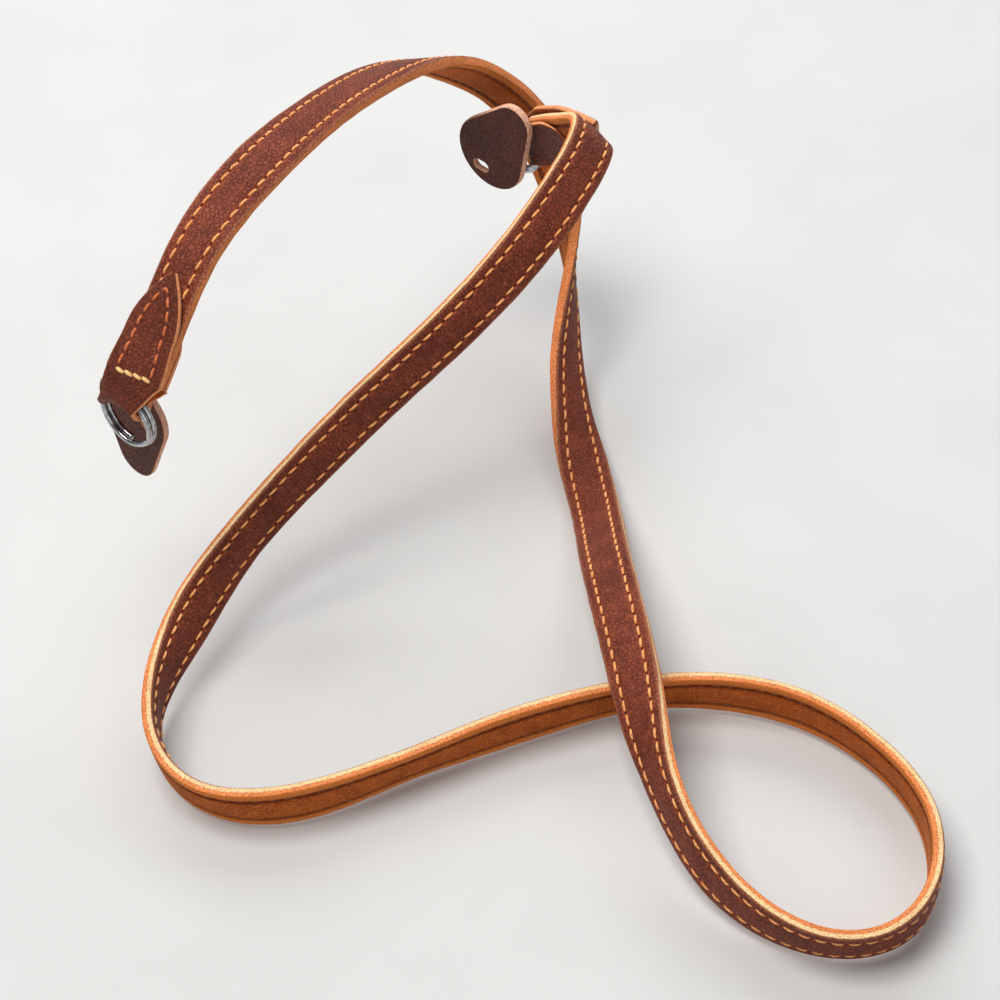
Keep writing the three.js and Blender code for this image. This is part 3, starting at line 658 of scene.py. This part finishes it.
def make_tab(end):
    f0 = [a[0] for a in end.frame(0)]
    wire, wt, wn = end.wf
    rows = []  # path length, middle, across, outward, half width, pull

    def pull_at(d):
        return float(1 - smooth((d + NECK) / NECK))

    def leg(d, sign, half, left=1.0):
        p, t, n, w = (a[0] for a in end.frame(d))
        rows.append((p + n * RHO * sign, w, n * sign, half, pull_at(d), left))

    def neck(d, sign):
        k = 1 + d / NECK
        t = unit(wt * (1 - k) + f0[1] * k)
        n = wn * (1 - k) + f0[2] * k
        n = unit(n - n.dot(t) * t)
        p = wire * (1 - k) + f0[0] * k
        rows.append((p + n * RHO * sign, np.cross(t, n), n * sign, float(tab_half(d)), pull_at(d), 1.0))

    for d in np.concatenate([TAB_OUTER - np.array([0, 0.15, 0.4, 0.8, 1.3, 1.9]), np.arange(TAB_OUTER - 2.5, -0.01, -0.6)]):
        leg(d, 1, float(tab_half(d)))
    for d in np.linspace(-0.6, -NECK + 0.6, 6):
        neck(d, 1)
    for a in np.linspace(0, math.pi, 25):
        out = wn * math.cos(a) - wt * math.sin(a)
        rows.append((wire + out * RHO, np.cross(wt, wn), out, TAB_FOLD_W / 2, 1.0, 1.0))
    for d in np.linspace(-NECK + 0.6, -0.6, 6):
        neck(d, -1)
    for d in np.arange(0, TAB_INNER + 0.01, 0.7):
        k = max(0.0, (d - (TAB_INNER - 6)) / 6)
        leg(d, -1, min(float(tab_half(d)), WIDTH / 2 - 0.1) * (1 - 0.45 * k * k), float(1 - (1 - SKIVE) * smooth((d - 3) / (TAB_INNER - 3))))
    mid = np.array([r[0] for r in rows])
    q = np.concatenate([[0], np.cumsum(np.linalg.norm(np.diff(mid, axis=0), axis=1))])
    down = -end.up
    face = np.linspace(-1, 1, 19)
    grid, cuv = [], []
    for r in rows:
        p, w, out, half, pull, left = r
        h2, low = TAB_T * (left - 0.5), TAB_T / 2
        loop, uv = [], []

        def add(v, h):
            drop = pull * (RING_R - math.sqrt(max(RING_R ** 2 - min(v * v, 36.0), 0)))
            loop.append(p + w * v + out * h + down * drop)
            uv.append((v, h))
        inset = min(0.22, half * 0.4)
        for v in face:
            edge = abs(v) ** 14
            add(v * (half - inset), h2 - 0.10 * edge + 0.05 * (1 - v * v))
        for a in (0.2, 0.5, 0.8):
            add(half - 0.03 * abs(a - 0.5), (h2 * (1 - a) - low * a) * 0.92)
        for v in face[::-1]:
            add(v * (half - inset * 0.5), -low)
        for a in (0.8, 0.5, 0.2):
            add(-half + 0.03 * abs(a - 0.5), (h2 * (1 - a) - low * a) * 0.92)
        grid.append(loop)
        cuv.append(uv)
    kinds = [(0, False)] * 18 + [(3, True)] * 4 + [(1, False)] * 18 + [(2, True)] * 4
    name = "tab_" + end.name
    ob = loft(name + "_leather", np.array(grid), q, np.array(cuv), kinds, [M_TAB, M_TAB_BACK, M_TAB_EDGE, M_TAB_EDGE_SHADED], capmat=2)
    piece(ob, "end_tab_" + end.name)

    # outline stitches on the outer leg
    def surf(d, v):
        p, t, n, w = (a[0] for a in end.frame(d))
        return p + n * (RHO + TAB_T / 2) + w * v, n
    inset = 2.9
    dd = np.linspace(1.5, TAB_OUTER - 4.4, 60)
    left = [(d, -max(0.0, float(tab_half(d)) - inset)) for d in dd]
    line = left + [(TAB_OUTER - 3.7, 0.0)] + [(d, -v) for d, v in left[::-1]]
    pts = np.array([surf(d, v)[0] for d, v in line])
    nrm = np.array([surf(d, v)[1] for d, v in line])
    L = np.concatenate([[0], np.cumsum(np.linalg.norm(np.diff(pts, axis=0), axis=1))])
    count = round(L[-1] / 3.2)
    pitch = L[-1] / count
    at = lambda x: np.array([np.interp(x, L, pts[:, k]) for k in range(3)])
    nat = lambda x: unit(np.array([np.interp(x, L, nrm[:, k]) for k in range(3)]))
    paths, radii = [], []
    for i in range(count):
        a, b = (i + 0.11) * pitch, (i + 0.89) * pitch
        xs = np.linspace(a, b, 7)
        k = np.linspace(0, 1, 7)
        h = -0.30 + 0.42 * np.sin(np.pi * k) ** 0.5
        paths.append(np.array([at(x) + nat(x) * hh for x, hh in zip(xs, h)]))
        radii.append(0.33 * (0.62 + 0.38 * np.sin(np.pi * k) ** 0.6))
    piece(tubes(name + "_stitches", paths, radii, M_THREAD_RED, 8), None)
    # the thick cross row that closes the loop round the ring
    paths, radii = [], []
    for i in range(4):
        v0 = -4.3 + i * 2.2
        a, na = surf(0.9 + 0.12 * i, v0)
        b, nb = surf(0.5 + 0.12 * i, v0 + 1.95)
        p, r = arc_stitch(a, b, unit(na + nb), 0.24, 0.35, 0.44, 9)
        paths.append(p)
        radii.append(r)
    piece(tubes(name + "_cross_row", paths, radii, M_THREAD_FAT, 10), None)


make_tab(LEFT)
make_tab(RIGHT)


# ---- split rings -----------------------------------------------------------------------------------------------------
def make_ring(end):
    a = np.linspace(math.radians(35), math.radians(685), 300)
    lo, hi = math.radians(325), math.radians(395)
    shift = RING_PITCH / 2 * (2 * smooth((a - lo) / (hi - lo)) - 1)
    side = np.array([1.0, 0, 0])
    across = unit(np.cross(end.up, side))
    b = a + 1.15 * math.pi
    radial = np.cos(b)[:, None] * end.up + np.sin(b)[:, None] * across
    q = end.centre + radial * RING_R + side * shift[:, None]
    n = 16
    c = np.arange(n) * 2 * math.pi / n
    # the two cut ends of the wire are rounded over
    e = np.minimum(np.arange(300), np.arange(300)[::-1])
    r = RING_WIRE / 2 * np.interp(e, [0, 1, 2, 4], [0.55, 0.82, 0.94, 1.0])
    grid = q[:, None] + r[:, None, None] * (np.cos(c)[None, :, None] * radial[:, None] + np.sin(c)[None, :, None] * side)
    ob = loft("ring_" + end.name, grid, np.arange(300.0), np.stack([c, c], 1), [(0, False)] * n, [M_STEEL], capmat=0)
    piece(ob, "split_ring_" + end.name)


make_ring(LEFT)
make_ring(RIGHT)


# ---- guard patches ---------------------------------------------------------------------------------------------------
def make_patch(end):
    reach = PATCH_LENGTH - PATCH_CROWN - PATCH_TIP
    lean = math.asin((PATCH_CROWN - PATCH_TIP) / reach)
    a = np.linspace(-lean, math.pi + lean, 90)
    b = np.linspace(math.pi + lean, 2 * math.pi - lean, 26)
    out = np.vstack([np.stack([PATCH_CROWN * np.cos(a), PATCH_CROWN * np.sin(a)], 1),
                     np.stack([PATCH_TIP * np.cos(b), PATCH_TIP * np.sin(b) - reach], 1)])
    c, s = math.cos(end.turn), math.sin(end.turn)
    out = np.stack([out[:, 0] * c - out[:, 1] * s, out[:, 0] * s + out[:, 1] * c], 1)
    sc = np.array(end.slot, float)
    # both outlines by angle about the slot's middle
    ang = np.linspace(0, 2 * math.pi, 120, endpoint=False)
    closed = np.vstack([out, out[:1]])
    dense = np.concatenate([np.linspace(closed[i], closed[i + 1], 12, endpoint=False) for i in range(len(out))])
    th = np.unwrap(np.arctan2(dense[:, 1] - sc[1], dense[:, 0] - sc[0]))
    order = np.argsort(th % (2 * math.pi))
    th, dd = (th % (2 * math.pi))[order], np.hypot(*(dense - sc).T)[order]
    R = np.interp(ang, np.concatenate([[th[-1] - 2 * math.pi], th, [th[0] + 2 * math.pi]]), np.concatenate([[dd[-1]], dd, [dd[0]]]))
    r, l = SLOT_WIDTH / 2, (SLOT_LENGTH - SLOT_WIDTH) / 2
    small = []
    for x in ang:
        c, s = math.cos(x), math.sin(x)
        t = r / abs(s) if abs(s) > 1e-6 else 1e9
        if abs(c * t) > l:
            bb = l * abs(c)
            t = bb + math.sqrt(max(r * r - l * l * s * s, 0))
        small.append(t)
    S = np.array(small)
    dirv = np.stack([np.cos(ang), np.sin(ang)], 1)
    layers = []  # (share between slot and outline, height)
    h2 = PATCH_T / 2
    ks = np.concatenate([[0.0], [0.02], np.linspace(0.06, 0.94, 12), [0.975]])
    dome = lambda k: 0.06 * math.sin(math.pi * k)
    for k in ks:
        layers.append((k, (h2 - 0.12 if k == 0 else h2 - 0.06) + dome(k) * 0.8, 0))
    for k, h in ((0.995, h2 * 0.80), (1.0, h2 * 0.45), (1.0, 0.0), (1.0, -h2 * 0.45), (0.995, -h2 * 0.85)):
        layers.append((k, h, 2))
    for k in ks[::-1]:
        layers.append((k, -h2, 1))
    layers.append((0.0, 0.0, 2))
    grid, cuv = [], []
    for k, h, kind in layers:
        xy = sc + dirv * (S + (R - S) * k)[:, None]
        hh = h + 0.03 * wobble(np.arange(120) * 0.5, 8) * (kind == 2)
        grid.append(np.column_stack([xy, np.broadcast_to(hh, 120)]))
    grid = np.array(grid).transpose(1, 0, 2)  # rows go round, columns go through the section
    off = end.stand_off + h2
    x0 = end.centre[0] + (off if end.inward > 0 else -off)
    w = np.stack([x0 - end.inward * grid[:, :, 2], end.crown[0] + grid[:, :, 0], end.crown[1] + grid[:, :, 1]], -1)
    w = np.concatenate([w, w[:1]])
    verts = w[:-1].reshape(-1, 3)
    rows, cols = 120, len(layers)
    faces, fm, uv = [], [], []
    for i in range(rows):
        i2 = (i + 1) % rows
        for j in range(cols):
            j2 = (j + 1) % cols
            faces.append((i * cols + j, i * cols + j2, i2 * cols + j2, i2 * cols + j))
            kind = 2 if 2 in (layers[j][2], layers[j2][2]) else layers[j][2]
            fm.append(kind)
            for (a_, b_) in ((i, j), (i, j2), (i2, j2), (i2, j)):
                g = grid[a_, b_]
                if kind == 2:
                    uv.append((a_ * 0.6 if not (i2 == 0 and a_ == 0) else 72.0, g[2]))
                else:
                    uv.append((g[0], g[1]))
    ob = make_mesh("patch_" + end.name, verts, faces, [M_PATCH, M_PATCH_BACK, M_PATCH_EDGE], fm, uv)
    outward(ob)
    piece(ob, "guard_patch_" + end.name)


make_patch(LEFT)
make_patch(RIGHT)

# ---- floor, light, camera --------------------------------------------------------------------------------------------
FLOOR_Z = CAD_BOX[0][2] - 0.0003
fm = Mat("floor_paper")
o = fm.obj(10.0)
floor_col = fm.mix(fm.ramp(fm.noise(o, 2.0, 3), 0.3, 0.7), (0.56, 0.557, 0.55), (0.585, 0.582, 0.575))
floor_mat = fm.set(color=floor_col, rough=0.85, spec=0.2)
me = bpy.data.meshes.new("floor")
me.from_pydata([(-6, -6, FLOOR_Z), (6, -6, FLOOR_Z), (6, 6, FLOOR_Z), (-6, 6, FLOOR_Z)], [], [(0, 1, 2, 3)])
me.materials.append(floor_mat)
floor = bpy.data.objects.new("floor", me)
bpy.context.scene.collection.objects.link(floor)


def look(at, eye, up=(0, 0, 1)):
    f = unit(np.array(at, float) - np.array(eye, float))
    r = unit(np.cross(f, up))
    u = np.cross(r, f)
    m = Matrix.Identity(4)
    for i in range(3):
        m[i][0], m[i][1], m[i][2], m[i][3] = r[i], u[i], -f[i], eye[i]
    return m


def area(name, eye, at, size, power, color=(1, 1, 1)):
    l = bpy.data.lights.new(name, "AREA")
    l.shape = "RECTANGLE"
    l.size, l.size_y = size
    l.energy = power
    l.color = color
    ob = bpy.data.objects.new(name, l)
    ob.matrix_world = look(at, eye)
    bpy.context.scene.collection.objects.link(ob)
    return ob


CAM = {"at": [-294.93, -346.69, 463.95], "right": [0.64997, -0.75975, 0.01785], "up": [0.54791, 0.48476, 0.68176], "back": [-0.52663, -0.43334, 0.73135]}
cam_data = bpy.data.cameras.new("camera")
cam_data.lens = 106.2
cam_data.sensor_width = 36.0
cam_data.clip_start = 0.01
cam_data.clip_end = 50.0
cam = bpy.data.objects.new("camera", cam_data)
cm = Matrix.Identity(4)
for i in range(3):
    cm[i][0], cm[i][1], cm[i][2], cm[i][3] = CAM["right"][i], CAM["up"][i], CAM["back"][i], CAM["at"][i] * MM
cam.matrix_world = cm
bpy.context.scene.collection.objects.link(cam)
bpy.context.scene.camera = cam

R_, U_, B_ = (np.array(CAM[k]) for k in ("right", "up", "back"))
mid = np.array([0.06, -0.06, -0.03])
back = unit(np.array([-B_[0], -B_[1], 0]))
side = np.array([back[1], -back[0], 0])
area("key", mid - back * 0.05 - side * 0.42 + np.array([0, 0, 1.2]), mid, (0.7, 0.7), 16.0, (1.0, 0.98, 0.95))
area("rear", mid + back * 0.9 + np.array([0, 0, 0.75]), mid, (1.2, 0.6), 9.0, (0.95, 0.98, 1.0))
area("fill", mid - back * 1.1 + side * 0.6 + np.array([0, 0, 0.5]), mid, (0.9, 0.9), 3.2, (1.0, 0.97, 0.94))
world = bpy.data.worlds.new("studio")
world.use_nodes = True
world.node_tree.nodes["Background"].inputs[0].default_value = (0.92, 0.95, 1.0, 1)
world.node_tree.nodes["Background"].inputs[1].default_value = 0.27
bpy.context.scene.world = world
bpy.context.scene.view_settings.view_transform = "Standard"
bpy.context.scene.view_settings.exposure = 0.0
